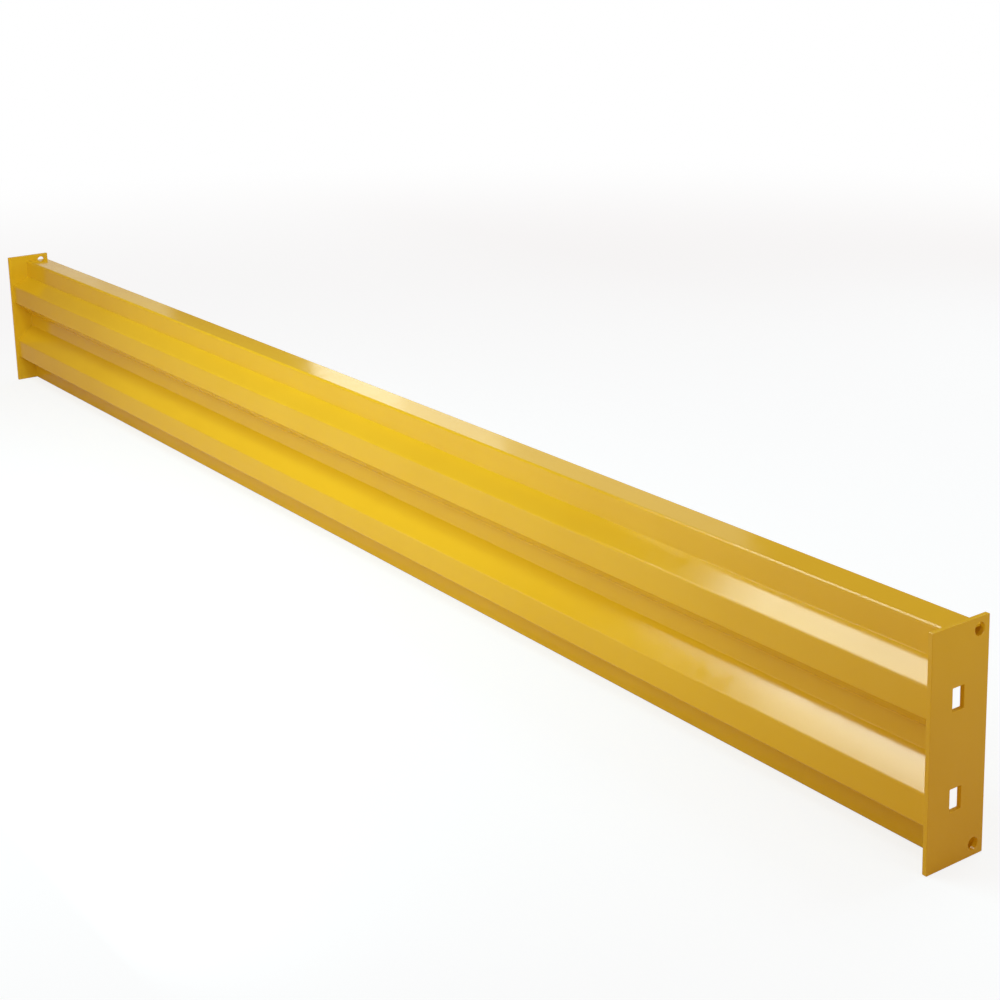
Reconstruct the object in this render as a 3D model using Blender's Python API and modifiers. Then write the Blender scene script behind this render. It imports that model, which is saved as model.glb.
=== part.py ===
# Industrial guard rail: a corrugated steel panel with a welded plate at each end.
# Lengths are in metres. +X runs along the rail, the ribbed front faces -Y and +Z is up.
# The origin is on the floor, under the middle of the rail.

import math

import bmesh
import bpy
from mathutils import Matrix, Vector

# Whole rail, measured over the outer faces of its end plates
RAIL_LENGTH = 3.048

# End plates
PLATE_HEIGHT = 0.3175
PLATE_DEPTH = 0.1016
PLATE_THICKNESS = 0.007
PLATE_EDGE_ROUND = 0.0008
PLATE_EDGE_STEPS = 2
SHARPEST_SMOOTH_TURN = math.radians(60)

# Bolt slots, one above the other in each plate
SLOT_WIDTH = 0.0205
SLOT_HEIGHT = 0.0305
SLOT_FROM_FRONT = 0.049
LOWER_SLOT_CENTRE = 0.088
SLOT_SPACING = 0.133

# Round holes in the two back corners of each plate
HOLE_RADIUS = 0.00875
HOLE_FROM_BACK = 0.0175
HOLE_FROM_END = 0.016
HOLE_SIDES = 32

# Folded panel: its distances to the plates' ends, then sizes along the middle of the sheet
SHEET = 0.003
INNER_BEND_RADIUS = 0.001
BEND_STEPS = 4
PLATE_ABOVE_PANEL = 0.0135
PANEL_LIFT = 0.0005
CREST_FROM_FRONT = 0.0079
RIB_DEPTH = 0.0394
RIB_SPACING = 0.1411
CREST_HEIGHT = 0.0413
OUTER_WALL_SLOPE = math.radians(24.8)
INNER_WALL_SLOPE = math.radians(40.7)
FLANGE_DEPTH = 0.0508
LIP_HEIGHT = 0.022

# Fillet welds on the hidden side, between the panel and each plate, spaced apart at the bends
WELD_LEG = 0.005
WELD_BULGE = 0.0008
WELD_ARC_STEPS = 6
WELD_SPACING = 0.001

# Name of the weld on each straight stretch of the panel's outline, from the upper lip to the lower one
WELDED_STRETCHES = (
    None,
    "top_flange",
    "upper_face",
    None,
    "upper_rib",
    None,
    "middle_web",
    None,
    "lower_rib",
    None,
    "lower_face",
    "bottom_flange",
    None,
)

# Gap left between solids that touch on the real rail, and how far cutters stand out of a plate
GAP = 0.0003
CUT_OVERRUN = 0.01

# Powder coat
YELLOW = (0.83, 0.50, 0.022)
WELD_YELLOW = (0.76, 0.45, 0.020)
PANEL_ROUGHNESS = 0.30
PLATE_ROUGHNESS = 0.34
WELD_ROUGHNESS = 0.42
COAT_WEIGHT = 0.4

# Places worked out from the sizes above
PLATE_FRONT = -PLATE_DEPTH / 2
PLATE_BACK = PLATE_DEPTH / 2
PLATE_INNER_FACE = RAIL_LENGTH / 2 - PLATE_THICKNESS
HOLE_Y = PLATE_BACK - HOLE_FROM_BACK
PANEL_HEIGHT = PLATE_HEIGHT - PLATE_ABOVE_PANEL - PANEL_LIFT
PANEL_MIDDLE = PANEL_LIFT + PANEL_HEIGHT / 2
HALF_SHEET = SHEET / 2
MIDDLE_BEND_RADIUS = INNER_BEND_RADIUS + HALF_SHEET
WELD_STOPS_SHORT = WELD_LEG + WELD_SPACING - INNER_BEND_RADIUS
CREST_Y = PLATE_FRONT + CREST_FROM_FRONT
FACE_Y = CREST_Y + RIB_DEPTH
BACK_Y = FACE_Y + FLANGE_DEPTH
FLANGE_Z = PANEL_HEIGHT / 2 - HALF_SHEET
RIB_Z = RIB_SPACING / 2
OUTER_DROP = RIB_DEPTH * math.tan(OUTER_WALL_SLOPE)
INNER_DROP = RIB_DEPTH * math.tan(INNER_WALL_SLOPE)


def clear_scene():
    for item in list(bpy.data.objects):
        bpy.data.objects.remove(item, do_unlink=True)


def new_collection(name):
    collection = bpy.data.collections.new(name)
    bpy.context.scene.collection.children.link(collection)
    return collection


def painted_steel(name, colour, roughness):
    material = bpy.data.materials.new(name)
    material.use_nodes = True
    shader = material.node_tree.nodes["Principled BSDF"]
    shader.inputs["Base Color"].default_value = (*colour, 1.0)
    shader.inputs["Metallic"].default_value = 0.0
    shader.inputs["Roughness"].default_value = roughness
    shader.inputs["Coat Weight"].default_value = COAT_WEIGHT
    material.diffuse_color = (*colour, 1.0)
    return material


def new_object(name, data, collection, material=None):
    item = bpy.data.objects.new(name, data)
    collection.objects.link(item)
    if material:
        data.materials.append(material)
    return item


def mesh_object(name, shape, collection, material=None):
    mesh = bpy.data.meshes.new(name)
    shape.to_mesh(mesh)
    shape.free()
    return new_object(name, mesh, collection, material)


def box_mesh(size):
    shape = bmesh.new()
    bmesh.ops.create_cube(shape, size=1.0)
    bmesh.ops.scale(shape, vec=Vector(size), verts=shape.verts)
    return shape


# Panel

def panel_corners():
    """Sharp corners of the folded sheet's middle line, as (y, z) from the upper lip to the lower one."""
    upper = [
        (BACK_Y, FLANGE_Z - LIP_HEIGHT + HALF_SHEET),
        (BACK_Y, FLANGE_Z),
        (FACE_Y, FLANGE_Z),
        (FACE_Y, RIB_Z + CREST_HEIGHT / 2 + OUTER_DROP),
        (CREST_Y, RIB_Z + CREST_HEIGHT / 2),
        (CREST_Y, RIB_Z - CREST_HEIGHT / 2),
        (FACE_Y, RIB_Z - CREST_HEIGHT / 2 - INNER_DROP),
    ]
    lower = [(y, -z) for y, z in reversed(upper)]
    return [Vector(corner) for corner in upper + lower]


def straight_stretches(corners):
    """The straight stretch between each two corners, as (start, end), where the bends' arcs stop."""
    cut_back = [0.0]
    for before, corner, after in zip(corners, corners[1:], corners[2:]):
        turn = (corner - before).angle(after - corner)
        cut_back.append(MIDDLE_BEND_RADIUS * math.tan(turn / 2))
    cut_back.append(0.0)
    stretches = []
    for index, (first, last) in enumerate(zip(corners, corners[1:])):
        along = (last - first).normalized()
        stretches.append((first + along * cut_back[index], last - along * cut_back[index + 1]))
    return stretches


def bend_arc(start, arrive, end, leave):
    """Points of the arc that turns from the direction arrive to the direction leave."""
    sweep = arrive.angle_signed(leave)
    centre = start + arrive.orthogonal() * math.copysign(MIDDLE_BEND_RADIUS, -sweep)
    points = [start]
    for step in range(1, BEND_STEPS):
        spoke = start - centre
        spoke.rotate(Matrix.Rotation(-sweep * step / BEND_STEPS, 2))
        points.append(centre + spoke)
    return points + [end]


def panel_outline():
    """The sheet's middle line with every bend rounded."""
    stretches = straight_stretches(panel_corners())
    points = [stretches[0][0]]
    for (first, start), (end, last) in zip(stretches, stretches[1:]):
        points += bend_arc(start, (start - first).normalized(), end, (last - end).normalized())
    points.append(stretches[-1][1])
    return points


def make_panel(collection, material):
    half_length = PLATE_INNER_FACE - GAP
    shape = bmesh.new()
    line = [shape.verts.new((-half_length, y, z)) for y, z in panel_outline()]
    edges = [shape.edges.new(pair) for pair in zip(line, line[1:])]
    swept = bmesh.ops.extrude_edge_only(shape, edges=edges)["geom"]
    far_end = [item for item in swept if isinstance(item, bmesh.types.BMVert)]
    bmesh.ops.translate(shape, verts=far_end, vec=(2 * half_length, 0, 0))
    panel = mesh_object("corrugated_panel", shape, collection, material)
    panel.location.z = PANEL_MIDDLE
    solid = panel.modifiers.new("sheet thickness", "SOLIDIFY")
    solid.thickness = SHEET
    solid.offset = 0.0
    solid.use_even_offset = True
    return panel


# End plates

def slot_cutter(name, height, collection):
    shape = box_mesh((PLATE_THICKNESS + 2 * CUT_OVERRUN, SLOT_WIDTH, SLOT_HEIGHT))
    cutter = mesh_object(name, shape, collection)
    cutter.location = (0, PLATE_FRONT + SLOT_FROM_FRONT, height)
    return cutter


def hole_cutter(name, height, collection):
    shape = bmesh.new()
    bmesh.ops.create_cone(
        shape,
        cap_ends=True,
        segments=HOLE_SIDES,
        radius1=HOLE_RADIUS,
        radius2=HOLE_RADIUS,
        depth=PLATE_THICKNESS + 2 * CUT_OVERRUN,
        matrix=Matrix.Rotation(math.radians(90), 4, "Y"),
    )
    cutter = mesh_object(name, shape, collection)
    cutter.location = (0, HOLE_Y, height)
    return cutter


def plate_cutters(collection):
    """Two slots and two holes, all through a plate that stands at x = 0."""
    return [
        slot_cutter("cut_slot_lower", LOWER_SLOT_CENTRE, collection),
        slot_cutter("cut_slot_upper", LOWER_SLOT_CENTRE + SLOT_SPACING, collection),
        hole_cutter("cut_hole_lower", HOLE_FROM_END, collection),
        hole_cutter("cut_hole_upper", PLATE_HEIGHT - HOLE_FROM_END, collection),
    ]


def make_end_plate(name, side, collection, cutter_collection, material):
    plate = mesh_object(name, box_mesh((PLATE_THICKNESS, PLATE_DEPTH, PLATE_HEIGHT)), collection, material)
    centre_x = side * (PLATE_INNER_FACE + PLATE_THICKNESS / 2)
    plate.location = (centre_x, 0, PLATE_HEIGHT / 2)
    for cutter in plate_cutters(cutter_collection):
        cutter.name = f"{cutter.name}_{name}"
        cutter.location.x = centre_x
        cutter.hide_render = True
        cutter.display_type = "WIRE"
        cut = plate.modifiers.new(cutter.name, "BOOLEAN")
        cut.operation = "DIFFERENCE"
        cut.object = cutter
    rounding = plate.modifiers.new("eased edges", "BEVEL")
    rounding.width = PLATE_EDGE_ROUND
    rounding.segments = PLATE_EDGE_STEPS
    rounding.limit_method = "ANGLE"
    rounding.angle_limit = SHARPEST_SMOOTH_TURN
    return plate


# Welds

def weld_outline():
    """A fillet's section: two legs in the corner and a slightly bulging face between their ends."""
    chord_middle = Vector((WELD_LEG / 2, WELD_LEG / 2))
    half_chord = WELD_LEG / math.sqrt(2)
    radius = (half_chord**2 + WELD_BULGE**2) / (2 * WELD_BULGE)
    centre = chord_middle - Vector((1, 1)).normalized() * (radius - WELD_BULGE)
    half_sweep = math.asin(half_chord / radius)
    points = [(0.0, 0.0)]
    for step in range(WELD_ARC_STEPS + 1):
        angle = math.radians(45) - half_sweep + 2 * half_sweep * step / WELD_ARC_STEPS
        points.append((centre.x + radius * math.cos(angle), centre.y + radius * math.sin(angle)))
    return points


def make_weld(name, corner, from_plate, from_sheet, length, collection, material):
    """A straight fillet: its legs lie along from_plate and from_sheet, and it is centred on corner."""
    outline = weld_outline()
    curve = bpy.data.curves.new(name, "CURVE")
    curve.dimensions = "2D"
    curve.fill_mode = "BOTH"
    curve.extrude = length / 2
    spline = curve.splines.new("POLY")
    spline.points.add(len(outline) - 1)
    for point, (u, v) in zip(spline.points, outline):
        point.co = (u, v, 0.0, 1.0)
    spline.use_cyclic_u = True
    weld = new_object(name, curve, collection, material)
    along = from_plate.cross(from_sheet)
    turn = Matrix((from_plate, from_sheet, along)).transposed().to_4x4()
    start = corner + GAP * (from_plate + from_sheet)
    weld.matrix_world = Matrix.Translation(start) @ turn
    return weld


def weld_places():
    """Name, (y, z) on the sheet's hidden face, direction away from the sheet, and length."""
    hole_front = HOLE_Y - HOLE_RADIUS
    places = []
    for name, (start, end) in zip(WELDED_STRETCHES, straight_stretches(panel_corners())):
        if name is None:
            continue
        along = (end - start).normalized()
        hidden = Vector((-along.y, along.x))
        if name == "top_flange":
            start.x = hole_front
        if name == "bottom_flange":
            end.x = hole_front
        length = (end - start).length - 2 * WELD_STOPS_SHORT
        places.append((name, (start + end) / 2 + hidden * HALF_SHEET, hidden, length))
    return places


def make_welds(end_name, side, collection, material):
    from_plate = Vector((-side, 0, 0))
    for place, (y, z), (hidden_y, hidden_z), length in weld_places():
        corner = Vector((side * PLATE_INNER_FACE, y, PANEL_MIDDLE + z))
        from_sheet = Vector((0, hidden_y, hidden_z))
        make_weld(f"weld_{end_name}_{place}", corner, from_plate, from_sheet, length, collection, material)


def build():
    clear_scene()
    parts = new_collection("industrial_guard_rail")
    cutters = new_collection("cutters")
    make_panel(parts, painted_steel("panel_yellow", YELLOW, PANEL_ROUGHNESS))
    for end_name, side in (("left", -1), ("right", 1)):
        plate_paint = painted_steel(f"plate_yellow_{end_name}", YELLOW, PLATE_ROUGHNESS)
        weld_paint = painted_steel(f"weld_yellow_{end_name}", WELD_YELLOW, WELD_ROUGHNESS)
        make_end_plate(f"end_plate_{end_name}", side, parts, cutters, plate_paint)
        make_welds(end_name, side, parts, weld_paint)


build()
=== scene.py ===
# Looks of the industrial guard rail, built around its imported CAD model.
import math

import bmesh
import bpy
from mathutils import Matrix, Vector


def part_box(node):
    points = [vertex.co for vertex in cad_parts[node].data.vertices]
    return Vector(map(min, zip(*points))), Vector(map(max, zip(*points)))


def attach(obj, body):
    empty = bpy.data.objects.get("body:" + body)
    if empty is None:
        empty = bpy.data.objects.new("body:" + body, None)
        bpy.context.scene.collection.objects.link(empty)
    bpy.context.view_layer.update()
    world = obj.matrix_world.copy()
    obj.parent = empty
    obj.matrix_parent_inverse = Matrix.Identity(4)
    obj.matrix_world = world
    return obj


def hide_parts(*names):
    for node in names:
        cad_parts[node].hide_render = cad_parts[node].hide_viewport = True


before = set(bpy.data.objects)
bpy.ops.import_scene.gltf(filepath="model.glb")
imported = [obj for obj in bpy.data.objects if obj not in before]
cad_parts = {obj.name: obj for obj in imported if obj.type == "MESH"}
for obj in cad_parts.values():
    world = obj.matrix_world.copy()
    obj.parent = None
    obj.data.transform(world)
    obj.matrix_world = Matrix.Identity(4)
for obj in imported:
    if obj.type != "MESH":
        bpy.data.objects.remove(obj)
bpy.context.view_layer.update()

BODY = "root"
SIDES = {"left": -1, "right": 1}

# Folded panel, in metres: its height and its lips' height are measured over the sheet, and the rest
# of its section along the middle of the sheet
SHEET = 0.003
INNER_BEND_RADIUS = 0.001
PANEL_HEIGHT = 0.3035
CREST_FROM_FRONT = 0.0079
RIB_DEPTH = 0.0394
RIB_SPACING = 0.1411
CREST_HEIGHT = 0.0413
OUTER_WALL_SLOPE = math.radians(24.8)
INNER_WALL_SLOPE = math.radians(40.7)
FLANGE_DEPTH = 0.0508
LIP_HEIGHT = 0.022

# Folded panel: how far it sinks into each plate, how finely it is divided, its edges and its waves
PANEL_SINK = 0.0001
BEND_STEPS = 9
LENGTH_STEPS = 120
CUT_EDGE_ROUND = 0.0005
CUT_EDGE_STEPS = 2
CUT_EDGE_ANGLE = math.radians(60)
PANEL_SMOOTH_ANGLE = math.radians(40)
WAVE_HEIGHT = 0.00022
WAVE_LENGTH = 0.45
WAVE_SEED = 3.0

# End plates
SLOT_SIZE = (0.0205, 0.0305)
SLOT_FROM_FRONT = 0.049
SLOT_HEIGHTS = (0.088, 0.221)
SLOT_CORNER_ROUND = 0.0012
HOLE_RADIUS = 0.00875
HOLE_FROM_BACK = 0.0175
HOLE_FROM_END = 0.016
PLATE_CORNER_ROUND = 0.0012
PLATE_EDGE_ROUND = 0.0008
EDGE_STEPS = 3
HOLE_STEPS = 56
CORNER_STEPS = 5
PLATE_SMOOTH_ANGLE = math.radians(50)

# Weld beads, with the panel's stretches from the upper lip to the lower one; None carries no bead
WELD_LEG = 0.005
WELD_BULGE = 0.0009
WELD_SPACING = 0.001
WELD_SINK = 0.0002
WELD_SECTION_STEPS = 10
WELD_SMOOTH_ANGLE = math.radians(60)
WELD_END_SIZE = 0.12
WELDED_STRETCHES = (
    None,
    "top_flange",
    "upper_face",
    None,
    "upper_rib",
    None,
    "middle_web",
    None,
    "lower_rib",
    None,
    "lower_face",
    "bottom_flange",
    None,
)

# Ripples on the beads: a lean under 1 moves each crest to one side, the dip is the share of a
# ripple's height that lies below the bead's face, and the fade is on a scale from 0 in the bead's
# corner to 1 on the line between its toes
RIPPLE_PITCH = 0.0026
RIPPLE_HEIGHT = 0.00035
RIPPLE_CURVE = 0.0016
RIPPLE_LEAN = 0.7
RIPPLE_DIP = 0.6
RIPPLE_FADE = (0.55, 0.95)
RIPPLE_WANDER_SCALE = 140.0
STEPS_PER_RIPPLE = 8
SEED_GAP_BETWEEN_ENDS = 20.0

MERGE_DISTANCE = 1e-6

# Powder coat: colours, then roughness and height of the orange peel on each kind of piece
YELLOW = (0.87, 0.615, 0.022)
DEEP_YELLOW = (0.83, 0.57, 0.017)
PANEL_FINISH = (0.13, 0.000008)
PLATE_FINISH = (0.24, 0.00001)
WELD_FINISH = (0.30, 0.00002)

# Powder coat patterns: a scale is roughly how many specks or clouds go into a metre
TONE_SCALE = 3.2
TONE_RANGE = (0.25, 0.62)
GRAIN_SCALE = 900.0
GRAIN_SHARE = 0.25
GLOSS_SCALE = 38.0
GLOSS_RANGE = (0.3, 0.7)
ROUGHNESS_SWING = 0.03
PEEL_SCALE = 620.0
FINE_PEEL_SCALE = 700.0
FINE_PEEL_SHARE = 0.5
COAT_IOR = 1.5

# Camera, on the near side of the right end, looking down along the rail
CAMERA_PLACE = Vector((2.887, -1.609, 1.186))
CAMERA_TURN = math.radians(55.18)
CAMERA_TILT = math.radians(12.64)
CAMERA_ROLL = math.radians(-1.52)
CAMERA_LENS = 65.5
CAMERA_SENSOR = 36.0
CAMERA_SHIFT = -0.2

# Floor: the colour the camera sees with its glow, and the colour that lights the rail
WHITE = (1.0, 1.0, 1.0, 1.0)
FLOOR_HALF = 40.0
FLOOR_DROP = 0.0002
FLOOR_FADE_START = 2.2
FLOOR_FADE_END = 5.0
FLOOR_SEEN = (0.22, 0.28, 0.32)
FLOOR_GLOW = 0.80
FLOOR_BOUNCE = (0.71, 0.61, 0.62)

# Surroundings: the coat mirrors a darker studio than the camera sees, so reflections have a level
# of their own
SKY_COLOUR = (1.0, 0.57, 0.46)
SKY_FOR_DIFFUSE = 0.42
SKY_FOR_GLOSS = 0.20

# What a lamp gives: diffuse light, reflections, or both
BOTH = (True, True)
REFLECTION = (False, True)
FILL = (True, False)

# Lamps: name, place, the point each is aimed at, size, brightness, and what it gives
LAMP_COLOUR = (0.87, 1.0, 0.94)
LAMPS = (
    ("overhead glare at the back", (-0.34, 0.45, 2.5), (-0.34, 0.45, 0.0), (1.4, 0.9), 6.2, REFLECTION),
    ("overhead glare at the front", (-0.42, -1.15, 2.5), (-0.42, -1.15, 0.0), (1.5, 0.9), 4.0, REFLECTION),
    ("key", (0.0, -1.3, 1.5), (0.0, 0.0, 0.15), (1.4, 0.6), 4.2, BOTH),
    ("high key", (-0.15, -0.6, 1.8), (-0.1, 0.0, 0.15), (1.4, 0.4), 6.4, BOTH),
    ("low front", (0.1, -0.9, 0.12), (0.1, 0.0, 0.03), (2.0, 0.15), 2.4, BOTH),
    ("back top at the near end", (1.4, 0.9, 1.6), (1.3, 0.0, 0.2), (0.8, 0.6), 2.7, BOTH),
    ("rear fill", (0.6, 2.6, 1.1), (0.4, 0.0, 0.15), (2.8, 0.7), 1.9, FILL),
    ("end plate", (1.9, 0.0, 0.42), (1.52, 0.0, 0.25), (0.2, 0.2), 2.6, BOTH),
)

# Upright panels behind the rail, mirrored in its top flange: place along X, width and brightness
REAR_PANEL_Y = 2.0
REAR_PANEL_Z = 1.4
REAR_PANEL_HEIGHT = 1.0
REAR_PANELS = (
    (-1.65, 1.3, 0.48),
    (-2.65, 0.7, 1.2),
    (-3.35, 0.7, 1.75),
    (-5.55, 0.9, 0.46),
    (-6.6, 1.2, 0.62),
)


# Sizes read from the frame

plate_low, plate_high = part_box("end_plate_right")
panel_low, panel_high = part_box("corrugated_panel")
PLATE_FRONT = plate_low.y
PLATE_BACK = plate_high.y
PLATE_INNER_FACE = plate_low.x
PLATE_THICKNESS = plate_high.x - plate_low.x
PLATE_HEIGHT = plate_high.z
HOLE_Y = PLATE_BACK - HOLE_FROM_BACK
PANEL_MIDDLE = (panel_low.z + panel_high.z) / 2
HALF_SHEET = SHEET / 2
MIDDLE_BEND_RADIUS = INNER_BEND_RADIUS + HALF_SHEET


# Objects and meshes

def linked_object(name, data):
    """A new object with this mesh, curve, lamp or camera, in the scene."""
    item = bpy.data.objects.new(name, data)
    bpy.context.scene.collection.objects.link(item)
    return item


def line_object(name, points, closed=False):
    """A bare object whose mesh is one run of edges, for a node tree to shape."""
    shape = bmesh.new()
    verts = [shape.verts.new(point) for point in points]
    for pair in zip(verts, verts[1:]):
        shape.edges.new(pair)
    if closed:
        shape.edges.new((verts[-1], verts[0]))
    mesh = bpy.data.meshes.new(name)
    shape.to_mesh(mesh)
    shape.free()
    return linked_object(name, mesh)


def evaluated_mesh(item):
    """A plain mesh of the object as its modifiers leave it, with the object itself removed."""
    graph = bpy.context.evaluated_depsgraph_get()
    mesh = bpy.data.meshes.new_from_object(item.evaluated_get(graph))
    bpy.data.objects.remove(item, do_unlink=True)
    return mesh


def baked_piece(item, name):
    """A plain mesh object of its own in place of one with modifiers or a curve."""
    mesh = evaluated_mesh(item)
    mesh.name = name
    return linked_object(name, mesh)


def face_outwards(mesh, merge=False):
    """Turns a closed mesh's faces outwards, after its doubles are merged where that is asked."""
    shape = bmesh.new()
    shape.from_mesh(mesh)
    if merge:
        bmesh.ops.remove_doubles(shape, verts=shape.verts, dist=MERGE_DISTANCE)
    bmesh.ops.recalc_face_normals(shape, faces=shape.faces)
    shape.to_mesh(mesh)
    shape.free()


def smooth(mesh, angle):
    """Smooth shading across edges up to an angle, with flat faces kept flat by weighting on area."""
    mesh.shade_smooth()
    mesh.set_sharp_from_angle(angle=angle)
    item = linked_object("smoothing", mesh)
    item.modifiers.new("weighted", "WEIGHTED_NORMAL").keep_sharp = True
    weighted = evaluated_mesh(item)
    normals = [tuple(corner.vector) for corner in weighted.corner_normals]
    mesh.normals_split_custom_set(normals)
    bpy.data.meshes.remove(weighted)


# Node helpers

def add_node(tree, kind, inputs=None, **settings):
    """A node with its settings, and its inputs given by name or index as values or as sockets."""
    node = tree.nodes.new(kind)
    for key, value in settings.items():
        setattr(node, key, value)
    for key, value in (inputs or {}).items():
        if isinstance(value, bpy.types.NodeSocket):
            tree.links.new(value, node.inputs[key])
        else:
            node.inputs[key].default_value = value
    return node


def maths(tree, operation, *values):
    """The result of a Math node on numbers or sockets."""
    node = add_node(tree, "ShaderNodeMath", dict(enumerate(values)), operation=operation)
    return node.outputs[0]


def vector_maths(tree, operation, *values):
    """The vector that comes from a Vector Math node on vectors."""
    node = add_node(tree, "ShaderNodeVectorMath", dict(enumerate(values)), operation=operation)
    return node.outputs[0]


def noise(tree, place, scale, detail):
    node = add_node(tree, "ShaderNodeTexNoise", {"Vector": place, "Scale": scale, "Detail": detail})
    return node.outputs[0]


def seeded_noise(tree, place, seed, scale, detail):
    node = add_node(
        tree,
        "ShaderNodeTexNoise",
        {"Vector": place, "W": seed, "Scale": scale, "Detail": detail},
        noise_dimensions="4D",
    )
    return node.outputs[0]


def new_tree_material(name):
    material = bpy.data.materials.new(name)
    material.use_nodes = True
    material.node_tree.nodes.clear()
    return material, material.node_tree


def new_geometry_tree(name, inputs):
    """A geometry node tree with named inputs: each is (name, socket kind)."""
    tree = bpy.data.node_groups.new(name, "GeometryNodeTree")
    tree.interface.new_socket("Geometry", in_out="INPUT", socket_type="NodeSocketGeometry")
    for label, kind in inputs:
        tree.interface.new_socket(label, in_out="INPUT", socket_type=kind)
    tree.interface.new_socket("Geometry", in_out="OUTPUT", socket_type="NodeSocketGeometry")
    return tree, tree.nodes.new("NodeGroupInput"), tree.nodes.new("NodeGroupOutput")


def finish_tree(tree, geometry, group_in, group_out):
    """Ends a tree with real geometry in the material that it is given."""
    realized = add_node(tree, "GeometryNodeRealizeInstances", {"Geometry": geometry})
    painted = add_node(
        tree,
        "GeometryNodeSetMaterial",
        {"Geometry": realized.outputs["Geometry"], "Material": group_in.outputs["Material"]},
    )
    tree.links.new(painted.outputs["Geometry"], group_out.inputs["Geometry"])


def add_geometry_modifier(item, tree, values):
    modifier = item.modifiers.new(tree.name, "NODES")
    modifier.node_group = tree
    for socket in tree.interface.items_tree:
        if socket.in_out == "INPUT" and socket.name in values:
            modifier[socket.identifier] = values[socket.name]


def swept_outline(tree, outline, group_in, closed_ends):
    """A mesh swept along X, so that an outline drawn in X and Y stands in Y and Z."""
    half = maths(tree, "MULTIPLY", group_in.outputs["Length"], 0.5)
    start = add_node(tree, "ShaderNodeCombineXYZ", {"X": maths(tree, "MULTIPLY", half, -1.0)})
    end = add_node(tree, "ShaderNodeCombineXYZ", {"X": half})
    line = add_node(
        tree,
        "GeometryNodeCurvePrimitiveLine",
        {"Start": start.outputs[0], "End": end.outputs[0]},
    )
    steps = add_node(
        tree,
        "GeometryNodeResampleCurve",
        {"Curve": line.outputs["Curve"], "Count": group_in.outputs["Length steps"]},
    )
    swept = add_node(
        tree,
        "GeometryNodeCurveToMesh",
        {"Curve": steps.outputs["Curve"], "Profile Curve": outline, "Fill Caps": closed_ends},
    )
    return swept.outputs["Mesh"]


# Panel

def panel_corners():
    """Sharp corners of the sheet's middle line, as (y, z) from the upper lip to the lower one."""
    crest_y = PLATE_FRONT + CREST_FROM_FRONT
    face_y = crest_y + RIB_DEPTH
    back_y = face_y + FLANGE_DEPTH
    flange_z = PANEL_HEIGHT / 2 - HALF_SHEET
    crest_top = RIB_SPACING / 2 + CREST_HEIGHT / 2
    crest_bottom = RIB_SPACING / 2 - CREST_HEIGHT / 2
    upper = [
        (back_y, flange_z - LIP_HEIGHT + HALF_SHEET),
        (back_y, flange_z),
        (face_y, flange_z),
        (face_y, crest_top + RIB_DEPTH * math.tan(OUTER_WALL_SLOPE)),
        (crest_y, crest_top),
        (crest_y, crest_bottom),
        (face_y, crest_bottom - RIB_DEPTH * math.tan(INNER_WALL_SLOPE)),
    ]
    lower = [(y, -z) for y, z in reversed(upper)]
    return [Vector((y, z + PANEL_MIDDLE)) for y, z in upper + lower]


def folded_sheet_tree():
    """Rounds the corners of a drawn section, sweeps it along X and gives it a faint waviness."""
    tree, group_in, group_out = new_geometry_tree(
        "folded sheet",
        [
            ("Length", "NodeSocketFloat"),
            ("Length steps", "NodeSocketInt"),
            ("Bend radius", "NodeSocketFloat"),
            ("Bend steps", "NodeSocketInt"),
            ("Wave height", "NodeSocketFloat"),
            ("Wave length", "NodeSocketFloat"),
            ("Seed", "NodeSocketFloat"),
            ("Material", "NodeSocketMaterial"),
        ],
    )
    drawn = add_node(tree, "GeometryNodeMeshToCurve", {"Mesh": group_in.outputs["Geometry"]})
    rounded = add_node(
        tree,
        "GeometryNodeFilletCurve",
        {
            "Curve": drawn.outputs["Curve"],
            "Count": group_in.outputs["Bend steps"],
            "Radius": group_in.outputs["Bend radius"],
            "Limit Radius": True,
        },
        mode="POLY",
    )
    swept = swept_outline(tree, rounded.outputs["Curve"], group_in, closed_ends=False)

    # The waves push the sheet both ways along its normal
    place = tree.nodes.new("GeometryNodeInputPosition").outputs[0]
    scale = maths(tree, "DIVIDE", 1.0, group_in.outputs["Wave length"])
    wave = seeded_noise(tree, place, group_in.outputs["Seed"], scale, 1.0)
    level = maths(tree, "MULTIPLY_ADD", wave, 2.0, -1.0)
    height = maths(tree, "MULTIPLY", level, group_in.outputs["Wave height"])
    normal = tree.nodes.new("GeometryNodeInputNormal")
    push = add_node(
        tree,
        "ShaderNodeVectorMath",
        {0: normal.outputs[0], "Scale": height},
        operation="SCALE",
    )
    waved = add_node(
        tree,
        "GeometryNodeSetPosition",
        {"Geometry": swept, "Offset": push.outputs[0]},
    )
    finish_tree(tree, waved.outputs["Geometry"], group_in, group_out)
    return tree


def make_panel(material):
    drawn = [(-corner.x, -corner.y, 0.0) for corner in panel_corners()]
    item = line_object("panel section", drawn)
    values = {
        "Length": 2 * (PLATE_INNER_FACE + PANEL_SINK),
        "Length steps": LENGTH_STEPS,
        "Bend radius": MIDDLE_BEND_RADIUS,
        "Bend steps": BEND_STEPS,
        "Wave height": WAVE_HEIGHT,
        "Wave length": WAVE_LENGTH,
        "Seed": WAVE_SEED,
        "Material": material,
    }
    add_geometry_modifier(item, folded_sheet_tree(), values)
    thick = item.modifiers.new("sheet thickness", "SOLIDIFY")
    thick.thickness = SHEET
    thick.offset = 0.0
    thick.use_even_offset = True
    edges = item.modifiers.new("cut edges", "BEVEL")
    edges.width = CUT_EDGE_ROUND
    edges.segments = CUT_EDGE_STEPS
    edges.limit_method = "ANGLE"
    edges.angle_limit = CUT_EDGE_ANGLE
    panel = baked_piece(item, "folded_panel")
    face_outwards(panel.data)
    smooth(panel.data, PANEL_SMOOTH_ANGLE)
    return panel


# End plates

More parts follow.
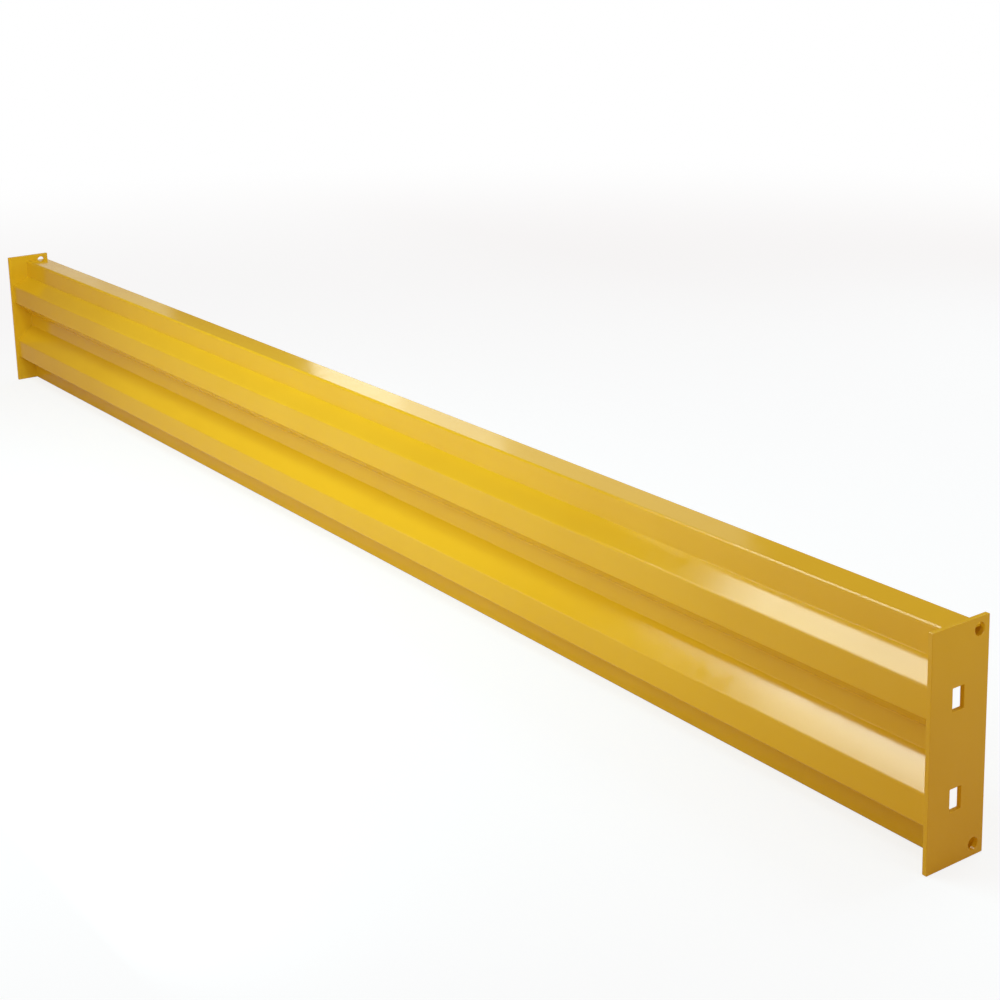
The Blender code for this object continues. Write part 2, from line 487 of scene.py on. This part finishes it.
def rounded_box(width, height, corner_round):
    """Points of a rectangle with rounded corners, counterclockwise, centred on the origin."""
    points = []
    for quarter, (side_u, side_v) in enumerate(((1, 1), (-1, 1), (-1, -1), (1, -1))):
        centre_u = side_u * (width / 2 - corner_round)
        centre_v = side_v * (height / 2 - corner_round)
        for step in range(CORNER_STEPS + 1):
            angle = math.radians(90) * (quarter + step / CORNER_STEPS)
            u = centre_u + corner_round * math.cos(angle)
            v = centre_v + corner_round * math.sin(angle)
            points.append((u, v))
    return points


def circle(radius, steps):
    turns = [2 * math.pi * step / steps for step in range(steps)]
    return [(radius * math.cos(turn), radius * math.sin(turn)) for turn in turns]


def moved(points, u, v):
    return [(a + u, b + v) for a, b in points]


def plate_outlines():
    """Outer edge, slots and holes of a plate, as (y, z) loops."""
    depth = PLATE_BACK - PLATE_FRONT
    middle = (PLATE_FRONT + PLATE_BACK) / 2
    edge = rounded_box(depth, PLATE_HEIGHT, PLATE_CORNER_ROUND)
    loops = [moved(edge, middle, PLATE_HEIGHT / 2)]
    for height in SLOT_HEIGHTS:
        slot = rounded_box(*SLOT_SIZE, SLOT_CORNER_ROUND)
        loops.append(moved(slot, PLATE_FRONT + SLOT_FROM_FRONT, height))
    for height in (HOLE_FROM_END, PLATE_HEIGHT - HOLE_FROM_END):
        loops.append(moved(circle(HOLE_RADIUS, HOLE_STEPS), HOLE_Y, height))
    return loops


def make_plate(end_name, side, material):
    curve = bpy.data.curves.new(f"plate outline {end_name}", "CURVE")
    curve.dimensions = "2D"
    curve.fill_mode = "BOTH"
    curve.extrude = PLATE_THICKNESS / 2 - PLATE_EDGE_ROUND
    curve.bevel_depth = PLATE_EDGE_ROUND
    curve.bevel_resolution = EDGE_STEPS
    curve.offset = -PLATE_EDGE_ROUND
    for loop in plate_outlines():
        spline = curve.splines.new("POLY")
        spline.points.add(len(loop) - 1)
        for point, (y, z) in zip(spline.points, loop):
            point.co = (y, z, 0.0, 1.0)
        spline.use_cyclic_u = True
    plate = baked_piece(linked_object(curve.name, curve), f"slotted_plate_{end_name}")
    plate.data.materials.clear()
    plate.data.materials.append(material)

    # The outline is drawn in X and Y, and stands up in Y and Z
    centre_x = side * (PLATE_INNER_FACE + PLATE_THICKNESS / 2)
    upright = Matrix(((0, 0, 1), (1, 0, 0), (0, 1, 0))).to_4x4()
    plate.data.transform(Matrix.Translation((centre_x, 0, 0)) @ upright)
    face_outwards(plate.data, merge=True)
    smooth(plate.data, PLATE_SMOOTH_ANGLE)
    return plate


# Welds

def straight_stretches(corners):
    """The straight stretch between each two corners, as (start, end), where the bends stop."""
    cut_back = [0.0]
    for before, corner, after in zip(corners, corners[1:], corners[2:]):
        turn = (corner - before).angle(after - corner)
        cut_back.append(MIDDLE_BEND_RADIUS * math.tan(turn / 2))
    cut_back.append(0.0)
    stretches = []
    for index, (first, last) in enumerate(zip(corners, corners[1:])):
        along = (last - first).normalized()
        start = first + along * cut_back[index]
        end = last - along * cut_back[index + 1]
        stretches.append((start, end))
    return stretches


def weld_places():
    """Name, middle (y, z) on the sheet's hidden face, direction away from the sheet, and length."""
    hole_front = HOLE_Y - HOLE_RADIUS
    stops_short = WELD_LEG + WELD_SPACING - INNER_BEND_RADIUS
    places = []
    for name, (start, end) in zip(WELDED_STRETCHES, straight_stretches(panel_corners())):
        if name is None:
            continue
        along = (end - start).normalized()
        hidden = Vector((-along.y, along.x))
        if name == "top_flange":
            start.x = hole_front
        if name == "bottom_flange":
            end.x = hole_front
        length = (end - start).length - 2 * stops_short
        places.append((name, (start + end) / 2 + hidden * HALF_SHEET, hidden, length))
    return places


def weld_section():
    """A fillet's section: two legs, sunk a little into the plate and the sheet, and a bulging face."""
    half_chord = WELD_LEG / math.sqrt(2)
    radius = (half_chord**2 + WELD_BULGE**2) / (2 * WELD_BULGE)
    centre = Vector((1, 1)).normalized() * (half_chord - (radius - WELD_BULGE))
    half_sweep = math.asin(half_chord / radius)
    points = [(-WELD_SINK, -WELD_SINK), (WELD_LEG, -WELD_SINK)]
    for step in range(WELD_SECTION_STEPS + 1):
        angle = math.radians(45) - half_sweep + 2 * half_sweep * step / WELD_SECTION_STEPS
        points.append((centre.x + radius * math.cos(angle), centre.y + radius * math.sin(angle)))
    points.append((-WELD_SINK, WELD_LEG))
    return points


def weld_bead_tree():
    """Sweeps a fillet section along X, piles crescent ripples on it and rounds off its ends."""
    tree, group_in, group_out = new_geometry_tree(
        "rippled weld bead",
        [
            ("Length", "NodeSocketFloat"),
            ("Length steps", "NodeSocketInt"),
            ("Leg", "NodeSocketFloat"),
            ("Ripple pitch", "NodeSocketFloat"),
            ("Ripple height", "NodeSocketFloat"),
            ("Ripple curve", "NodeSocketFloat"),
            ("Seed", "NodeSocketFloat"),
            ("Material", "NodeSocketMaterial"),
        ],
    )
    drawn = add_node(tree, "GeometryNodeMeshToCurve", {"Mesh": group_in.outputs["Geometry"]})
    swept = swept_outline(tree, drawn.outputs["Curve"], group_in, closed_ends=True)
    place = tree.nodes.new("GeometryNodeInputPosition").outputs[0]
    x, y, z = add_node(tree, "ShaderNodeSeparateXYZ", {0: place}).outputs
    leg = group_in.outputs["Leg"]
    pitch = group_in.outputs["Ripple pitch"]

    # Crescents: across is -1 at one toe and 1 at the other, and a ripple bows with its square
    across = maths(tree, "DIVIDE", maths(tree, "SUBTRACT", y, z), leg)
    squared = maths(tree, "MULTIPLY", across, across)
    bow = maths(tree, "MULTIPLY", squared, group_in.outputs["Ripple curve"])
    wandering = seeded_noise(tree, place, group_in.outputs["Seed"], RIPPLE_WANDER_SCALE, 2.0)
    wander = maths(tree, "MULTIPLY", wandering, pitch)
    travel = maths(tree, "ADD", maths(tree, "ADD", x, bow), wander)
    phase = maths(tree, "FRACT", maths(tree, "DIVIDE", travel, pitch))
    leaning = maths(tree, "POWER", phase, RIPPLE_LEAN)
    crest = maths(tree, "SINE", maths(tree, "MULTIPLY", leaning, math.pi))
    level = maths(tree, "SUBTRACT", crest, RIPPLE_DIP)
    ripple = maths(tree, "MULTIPLY", level, group_in.outputs["Ripple height"])

    # The ripples fade out in the corner, where the bead has no face
    out = maths(tree, "DIVIDE", maths(tree, "ADD", y, z), leg)
    fade_start, fade_end = RIPPLE_FADE
    on_face = add_node(
        tree,
        "ShaderNodeMapRange",
        {"Value": out, "From Min": fade_start, "From Max": fade_end},
    )
    lift = maths(tree, "MULTIPLY", ripple, on_face.outputs[0])
    push = add_node(tree, "ShaderNodeCombineXYZ", {"Y": lift, "Z": lift})
    rippled = vector_maths(tree, "ADD", place, push.outputs[0])

    # Round ends: the section shrinks as a quarter circle does, over one leg's length at each end
    half = maths(tree, "MULTIPLY", group_in.outputs["Length"], 0.5)
    from_end = maths(tree, "SUBTRACT", half, maths(tree, "ABSOLUTE", x))
    inward = maths(tree, "MINIMUM", maths(tree, "DIVIDE", from_end, leg), 1.0)
    left = maths(tree, "SUBTRACT", 1.0, inward)
    size = maths(tree, "SQRT", maths(tree, "SUBTRACT", 1.0, maths(tree, "MULTIPLY", left, left)))
    size = maths(tree, "MAXIMUM", size, WELD_END_SIZE)
    shrink = add_node(tree, "ShaderNodeCombineXYZ", {"X": 1.0, "Y": size, "Z": size})
    shaped = vector_maths(tree, "MULTIPLY", rippled, shrink.outputs[0])
    bead = add_node(tree, "GeometryNodeSetPosition", {"Geometry": swept, "Position": shaped})
    finish_tree(tree, bead.outputs["Geometry"], group_in, group_out)
    return tree


def make_weld(name, tree, place, side, seed, material):
    (y, z), (hidden_y, hidden_z), length = place
    item = line_object(name, [(-u, -v, 0.0) for u, v in weld_section()], closed=True)
    values = {
        "Length": length,
        "Length steps": round(length / RIPPLE_PITCH * STEPS_PER_RIPPLE),
        "Leg": WELD_LEG,
        "Ripple pitch": RIPPLE_PITCH,
        "Ripple height": RIPPLE_HEIGHT,
        "Ripple curve": RIPPLE_CURVE,
        "Seed": seed,
        "Material": material,
    }
    add_geometry_modifier(item, tree, values)
    weld = baked_piece(item, name)

    # One leg lies on the plate and the other on the sheet's hidden face
    from_plate = Vector((-side, 0, 0))
    from_sheet = Vector((0, hidden_y, hidden_z))
    along = from_plate.cross(from_sheet)
    turn = Matrix((along, from_plate, from_sheet)).transposed().to_4x4()
    corner = Vector((side * PLATE_INNER_FACE, y, z))
    weld.data.transform(Matrix.Translation(corner) @ turn)
    face_outwards(weld.data, merge=True)
    weld.data.shade_smooth()
    weld.data.set_sharp_from_angle(angle=WELD_SMOOTH_ANGLE)
    return weld


# Powder coat

def powder_coat(name, bright, deep, finish):
    """Glossy powder coat: faint shifts of tone, an orange-peel skin and small changes of gloss."""
    roughness, peel_height = finish
    material, tree = new_tree_material(name)
    place = tree.nodes.new("ShaderNodeTexCoord").outputs["Object"]

    # Tone: broad clouds with a fine grain on them
    grain = noise(tree, place, GRAIN_SCALE, 2.0)
    grain = maths(tree, "MULTIPLY_ADD", grain, GRAIN_SHARE, -GRAIN_SHARE / 2)
    tone = maths(tree, "ADD", grain, noise(tree, place, TONE_SCALE, 3.0))
    colour = add_node(tree, "ShaderNodeValToRGB", {0: tone})
    ramp = colour.color_ramp.elements
    for stop, position, tint in zip(ramp, TONE_RANGE, (deep, bright)):
        stop.position = position
        stop.color = (*tint, 1.0)

    # Gloss
    gloss_low, gloss_high = GLOSS_RANGE
    rough = add_node(
        tree,
        "ShaderNodeMapRange",
        {
            "Value": noise(tree, place, GLOSS_SCALE, 4.0),
            "From Min": gloss_low,
            "From Max": gloss_high,
            "To Min": roughness - ROUGHNESS_SWING,
            "To Max": roughness + ROUGHNESS_SWING,
        },
    )

    # Orange peel
    peel = add_node(
        tree,
        "ShaderNodeTexVoronoi",
        {"Vector": place, "Scale": PEEL_SCALE, "Smoothness": 1.0},
        feature="SMOOTH_F1",
    )
    fine = noise(tree, place, FINE_PEEL_SCALE, 2.0)
    skin = maths(tree, "MULTIPLY_ADD", fine, FINE_PEEL_SHARE, peel.outputs[0])
    bump = add_node(
        tree,
        "ShaderNodeBump",
        {"Height": skin, "Strength": 1.0, "Distance": peel_height},
    )

    shader = add_node(
        tree,
        "ShaderNodeBsdfPrincipled",
        {
            "Base Color": colour.outputs[0],
            "Roughness": rough.outputs[0],
            "Normal": bump.outputs[0],
            "Metallic": 0.0,
            "IOR": COAT_IOR,
        },
    )
    out = tree.nodes.new("ShaderNodeOutputMaterial")
    tree.links.new(shader.outputs[0], out.inputs["Surface"])
    return material


# Stage: floor, surroundings, lamps and camera

def seen_straight(tree, rays):
    """1 for what the camera sees, directly or through something clear, and 0 for all other light."""
    return maths(tree, "ADD", rays.outputs["Is Camera Ray"], rays.outputs["Is Transmission Ray"])


def floor_paper():
    """Pale paper that the camera sees almost white, with the rail's soft shadow left on it."""
    material, tree = new_tree_material("pale floor")
    rays = tree.nodes.new("ShaderNodeLightPath")
    place = tree.nodes.new("ShaderNodeTexCoord").outputs["Object"]
    away = add_node(tree, "ShaderNodeVectorMath", {0: place}, operation="LENGTH")
    far = add_node(
        tree,
        "ShaderNodeMapRange",
        {"Value": away.outputs["Value"], "From Min": FLOOR_FADE_START, "From Max": FLOOR_FADE_END},
        interpolation_type="SMOOTHSTEP",
    )
    paper = add_node(tree, "ShaderNodeBsdfDiffuse", {"Color": (*FLOOR_SEEN, 1.0)})
    glow = add_node(tree, "ShaderNodeEmission", {"Color": WHITE, "Strength": FLOOR_GLOW})
    near_floor = add_node(tree, "ShaderNodeAddShader", {0: paper.outputs[0], 1: glow.outputs[0]})
    white = add_node(tree, "ShaderNodeEmission", {"Color": WHITE, "Strength": 1.0})
    seen = add_node(
        tree,
        "ShaderNodeMixShader",
        {0: far.outputs[0], 1: near_floor.outputs[0], 2: white.outputs[0]},
    )
    bounce = add_node(tree, "ShaderNodeBsdfDiffuse", {"Color": (*FLOOR_BOUNCE, 1.0)})
    mixed = add_node(
        tree,
        "ShaderNodeMixShader",
        {0: seen_straight(tree, rays), 1: bounce.outputs[0], 2: seen.outputs[0]},
    )
    out = tree.nodes.new("ShaderNodeOutputMaterial")
    tree.links.new(mixed.outputs[0], out.inputs["Surface"])
    return material


def make_floor():
    shape = bmesh.new()
    bmesh.ops.create_grid(shape, x_segments=1, y_segments=1, size=FLOOR_HALF)
    mesh = bpy.data.meshes.new("floor")
    shape.to_mesh(mesh)
    shape.free()
    floor = linked_object("floor", mesh)
    floor.location.z = -FLOOR_DROP
    mesh.materials.append(floor_paper())


def make_surroundings():
    """A world that is white to the camera, a warm fill to the rail and dim in its reflections."""
    world = bpy.data.worlds.new("studio")
    world.use_nodes = True
    tree = world.node_tree
    tree.nodes.clear()
    rays = tree.nodes.new("ShaderNodeLightPath")
    seen = seen_straight(tree, rays)
    glossy = rays.outputs["Is Glossy Ray"]
    gloss = maths(tree, "MULTIPLY", glossy, SKY_FOR_GLOSS - SKY_FOR_DIFFUSE)
    straight = maths(tree, "MULTIPLY", seen, 1.0 - SKY_FOR_DIFFUSE)
    level = maths(tree, "ADD", maths(tree, "ADD", gloss, straight), SKY_FOR_DIFFUSE)
    colour = add_node(
        tree,
        "ShaderNodeMix",
        {0: seen, 6: (*SKY_COLOUR, 1.0), 7: WHITE},
        data_type="RGBA",
    )
    sky = add_node(
        tree,
        "ShaderNodeBackground",
        {"Color": colour.outputs[2], "Strength": level},
    )
    out = tree.nodes.new("ShaderNodeOutputWorld")
    tree.links.new(sky.outputs[0], out.inputs["Surface"])
    bpy.context.scene.world = world


def softbox(name, place, target, size, brightness, gives):
    """A flat lamp, unseen by the camera, whose face is equally bright whatever its size."""
    lamp = bpy.data.lights.new(name, "AREA")
    lamp.shape = "RECTANGLE"
    lamp.size, lamp.size_y = size
    lamp.energy = brightness * math.pi * size[0] * size[1]
    lamp.color = LAMP_COLOUR
    item = linked_object(name, lamp)
    item.location = place
    item.rotation_euler = (Vector(target) - Vector(place)).to_track_quat("-Z", "Y").to_euler()
    item.visible_camera = False
    item.visible_diffuse, item.visible_glossy = gives


def make_lamps():
    for lamp in LAMPS:
        softbox(*lamp)
    for number, (x, width, brightness) in enumerate(REAR_PANELS, start=1):
        place = (x, REAR_PANEL_Y, REAR_PANEL_Z)
        target = (x, 0.0, REAR_PANEL_Z)
        size = (width, REAR_PANEL_HEIGHT)
        softbox(f"rear panel {number}", place, target, size, brightness, BOTH)


def make_camera():
    back = Vector((
        math.sin(CAMERA_TURN) * math.cos(CAMERA_TILT),
        -math.cos(CAMERA_TURN) * math.cos(CAMERA_TILT),
        math.sin(CAMERA_TILT),
    ))
    right = Vector((math.cos(CAMERA_TURN), math.sin(CAMERA_TURN), 0.0))
    up = back.cross(right)
    level = Matrix((right, up, back)).transposed().to_4x4()
    roll = Matrix.Rotation(CAMERA_ROLL, 4, "Z")
    lens = bpy.data.cameras.new("camera")
    lens.lens = CAMERA_LENS
    lens.sensor_width = CAMERA_SENSOR
    lens.shift_y = CAMERA_SHIFT
    camera = linked_object("camera", lens)
    camera.matrix_world = Matrix.Translation(CAMERA_PLACE) @ level @ roll
    bpy.context.scene.camera = camera


# The whole rail

def hand_over(piece, slot, *nodes):
    """Lets a finished piece ride on the rail's body and stand for its CAD nodes."""
    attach(piece, BODY)
    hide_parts(*nodes)


def make_stage():
    make_camera()
    make_surroundings()
    make_floor()
    make_lamps()


def make_rail():
    panel_paint = powder_coat("yellow powder coat on panel", YELLOW, DEEP_YELLOW, PANEL_FINISH)
    hand_over(make_panel(panel_paint), "panel_paint", "corrugated_panel")
    plate_paint = powder_coat("yellow powder coat on plates", YELLOW, DEEP_YELLOW, PLATE_FINISH)
    weld_paint = powder_coat("yellow powder coat on welds", DEEP_YELLOW, DEEP_YELLOW, WELD_FINISH)
    bead_tree = weld_bead_tree()
    for end_name, side in SIDES.items():
        plate = make_plate(end_name, side, plate_paint)
        hand_over(plate, "plate_paint", f"end_plate_{end_name}")
        for number, (stretch, *place) in enumerate(weld_places()):
            name = f"weld_bead_{end_name}_{stretch}"
            seed = number + SEED_GAP_BETWEEN_ENDS * side
            weld = make_weld(name, bead_tree, place, side, seed, weld_paint)
            hand_over(weld, "weld_paint", f"weld_{end_name}_{stretch}")


bpy.context.scene.view_settings.view_transform = "Standard"
make_stage()
make_rail()


def corners(box):
    return [list(corner) for corner in box]
